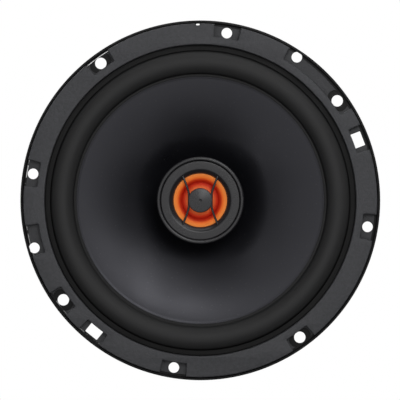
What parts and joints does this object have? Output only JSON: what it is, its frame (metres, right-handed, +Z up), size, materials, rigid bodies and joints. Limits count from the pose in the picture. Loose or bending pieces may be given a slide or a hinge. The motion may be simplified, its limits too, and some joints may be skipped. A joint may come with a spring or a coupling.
{
  "type": "coaxial car speaker",
  "caption": "Round coaxial car speaker: stamped basket with a flange and trim ring, flared cone on a half-roll surround, small tweeter on a central post, ferrite motor and blade terminals.",
  "frame": {"origin": "centre of the plane of the flange's rear face, on the speaker's axis", "axes": "+Y along the speaker's axis towards the motor, so the cone faces -Y; +Z up as in the picture; +X to the right as seen from the front"},
  "size_m": [0.165, 0.068, 0.165],
  "materials": {
    "painted_steel": "black paint",
    "trim_plastic": "fine moulded grain",
    "surround_rubber": "satin rubber",
    "cone_poly": "satin moulded cone",
    "former_film": "amber film",
    "winding_copper": "enamelled copper wire",
    "felt": "felt",
    "spider_cloth": "resin-treated weave",
    "solder": "tinned",
    "plate_steel": "black phosphate",
    "ferrite": "ground ferrite",
    "zinc_steel": "zinc plate",
    "nickel": "nickel plate",
    "tweeter_plastic": "satin moulded plastic",
    "diaphragm_film": "orange polymer film",
    "board_laminate": "phenolic laminate",
    "tinned_brass": "tinned brass",
    "tinsel_braid": "braided tinsel",
    "capacitor_sleeve": "shrink sleeve",
    "lead_red": "wire insulation",
    "lead_black": "wire insulation"
  },
  "bodies": {
    "frame": {"basket": "painted_steel", "trim_ring": "trim_plastic", "surround": "surround_rubber", "spider": "spider_cloth", "top_plate": "plate_steel", "magnet_ring": "ferrite", "t_yoke": "plate_steel", "seat_rivet_1": "zinc_steel", "seat_rivet_2": "zinc_steel", "seat_rivet_3": "zinc_steel", "seat_rivet_4": "zinc_steel", "tweeter_housing": "tweeter_plastic", "tweeter_grille": "tweeter_plastic", "tweeter_pole_plate": "zinc_steel", "tweeter_magnet": "nickel", "tweeter_yoke_cup": "zinc_steel", "tweeter_post": "zinc_steel", "post_washer": "zinc_steel", "post_nut": "zinc_steel", "terminal_board": "board_laminate", "terminal_pos": "tinned_brass", "terminal_neg": "tinned_brass", "terminal_rivet_1": "zinc_steel", "terminal_rivet_2": "zinc_steel", "tinsel_lead_pos": "tinsel_braid", "tinsel_lead_neg": "tinsel_braid", "crossover_capacitor": "capacitor_sleeve", "capacitor_lead_in": "solder", "capacitor_lead_out": "solder", "splice_sleeve": "lead_black", "tweeter_lead_pos": "lead_red", "tweeter_lead_neg": "lead_black"},
    "cone_assembly": {"cone": "cone_poly", "voice_coil_former": "former_film", "voice_coil_winding": "winding_copper", "dust_ring": "felt", "lead_tag_pos": "solder", "lead_tag_neg": "solder"},
    "tweeter_moving": {"tweeter_diaphragm": "diaphragm_film", "tweeter_voice_coil": "winding_copper"}
  },
  "joints": [
    {"name": "cone_travel", "type": "slide", "parent": "frame", "child": "cone_assembly", "axis": [0, -1, 0], "range_m": [-0.004, 0.004], "stiffness_N_per_m": 2500, "deforming": ["surround", "spider", "tinsel_lead_pos", "tinsel_lead_neg"]},
    {"name": "tweeter_travel", "type": "slide", "parent": "frame", "child": "tweeter_moving", "axis": [0, -1, 0], "range_m": [-0.0002, 0.0002], "stiffness_N_per_m": 1500}
  ]
}
